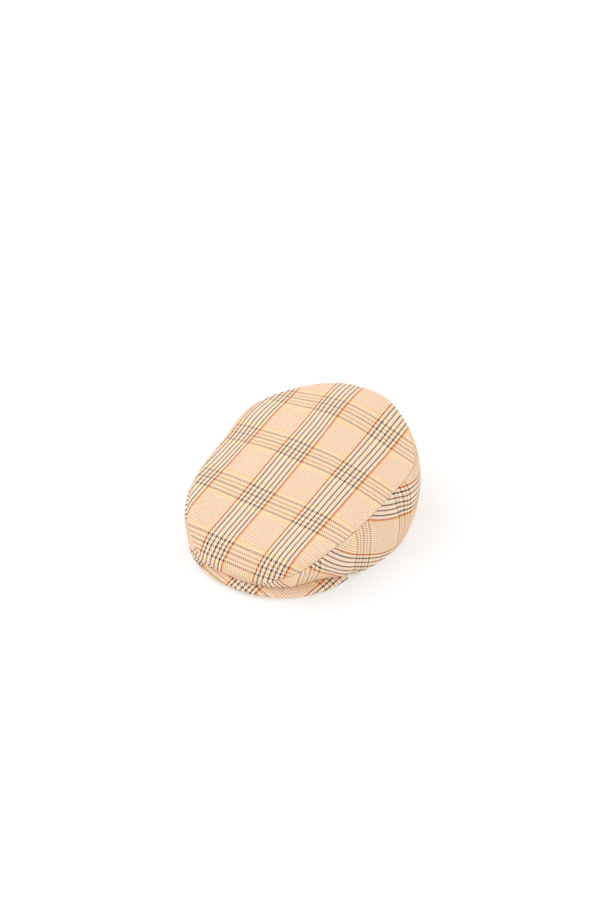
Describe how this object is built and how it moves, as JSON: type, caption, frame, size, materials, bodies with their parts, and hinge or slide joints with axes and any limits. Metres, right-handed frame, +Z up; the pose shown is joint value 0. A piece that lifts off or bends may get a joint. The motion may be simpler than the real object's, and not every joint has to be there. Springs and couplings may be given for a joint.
{
  "type": "flat cap",
  "caption": "Soft flat cap in checked cloth: a one-piece sloping top, side panels tapering along the front hem, a short stiff visor, a lining and an inner sweatband.",
  "frame": {"origin": "centre of the oval head opening, on the plane the rim rests on", "axes": "+Z up through the crown, -Y forward over the visor, +X the wearer's left"},
  "size_m": [0.1874, 0.2263, 0.0855],
  "materials": {
    "check_cloth": "loosely woven cotton and linen tweed in cream with a red, brown and yellow overcheck",
    "lining_cloth": "thin smooth twill lining in tan",
    "visor_board": "plain moulded polyethylene sheet, off-white",
    "stay_tape": "plain cotton tape, natural",
    "sweatband_cloth": "ribbed cotton band in tan",
    "label_cloth": "woven satin label, cream, blank"
  },
  "bodies": {
    "root": {"crown_top_panel": "check_cloth", "side_panel_left": "check_cloth", "side_panel_right": "check_cloth", "visor_top_cover": "check_cloth", "visor_under_cover": "check_cloth", "visor_board": "visor_board", "rim_stay_tape": "stay_tape", "sweatband": "sweatband_cloth", "lining_top": "lining_cloth", "lining_side_left": "lining_cloth", "lining_side_right": "lining_cloth", "size_label": "label_cloth"}
  },
  "joints": []
}
